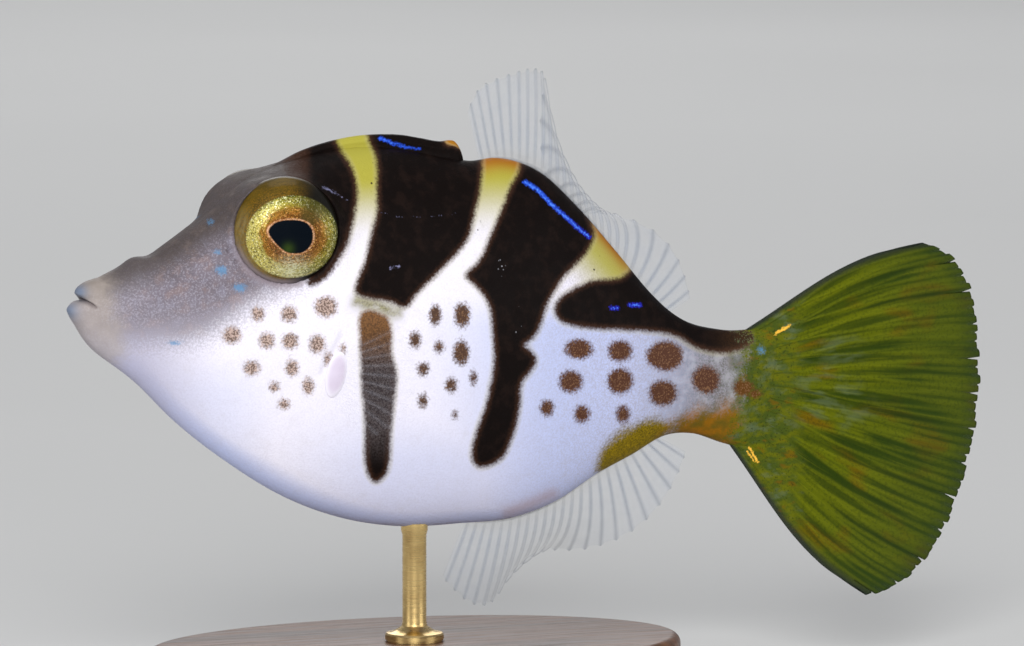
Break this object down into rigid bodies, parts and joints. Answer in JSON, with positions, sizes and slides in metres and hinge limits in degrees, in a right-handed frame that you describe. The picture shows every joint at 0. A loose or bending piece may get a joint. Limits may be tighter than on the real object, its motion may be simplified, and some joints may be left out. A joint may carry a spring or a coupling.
{
  "type": "mimic filefish",
  "caption": "Life-size still model of a small saddled reef fish with a deep narrow body and a wide fan tail, held over an oval base by a short rod.",
  "frame": {"origin": "centre of the flat underside of the stand's oval base, below the rod", "axes": "the fish's head points to -X and its back to +Z, and its left side, which the picture shows, faces -Y; the fish's middle plane is the plane of X and Z"},
  "size_m": [0.0753, 0.028, 0.0463],
  "materials": {
    "snout_skin": "satin",
    "lip_skin": "satin",
    "body_skin": "satin",
    "eye": "gloss",
    "dark_skin": "satin",
    "clear_fin": "satin",
    "green_fin": "satin",
    "stand_wood": "oiled",
    "stand_brass": "satin"
  },
  "bodies": {
    "root": {"head": "snout_skin", "upper_lip": "lip_skin", "lower_lip": "lip_skin", "torso": "body_skin", "tail_stalk": "body_skin", "eye_left": "eye", "eye_right": "eye", "first_dorsal_fin": "dark_skin", "dorsal_fin": "clear_fin", "anal_fin": "clear_fin", "pectoral_fin_left": "clear_fin", "pectoral_fin_right": "clear_fin", "tail_fin": "green_fin", "stand_base": "stand_wood", "stand_rod": "stand_brass"}
  },
  "joints": []
}
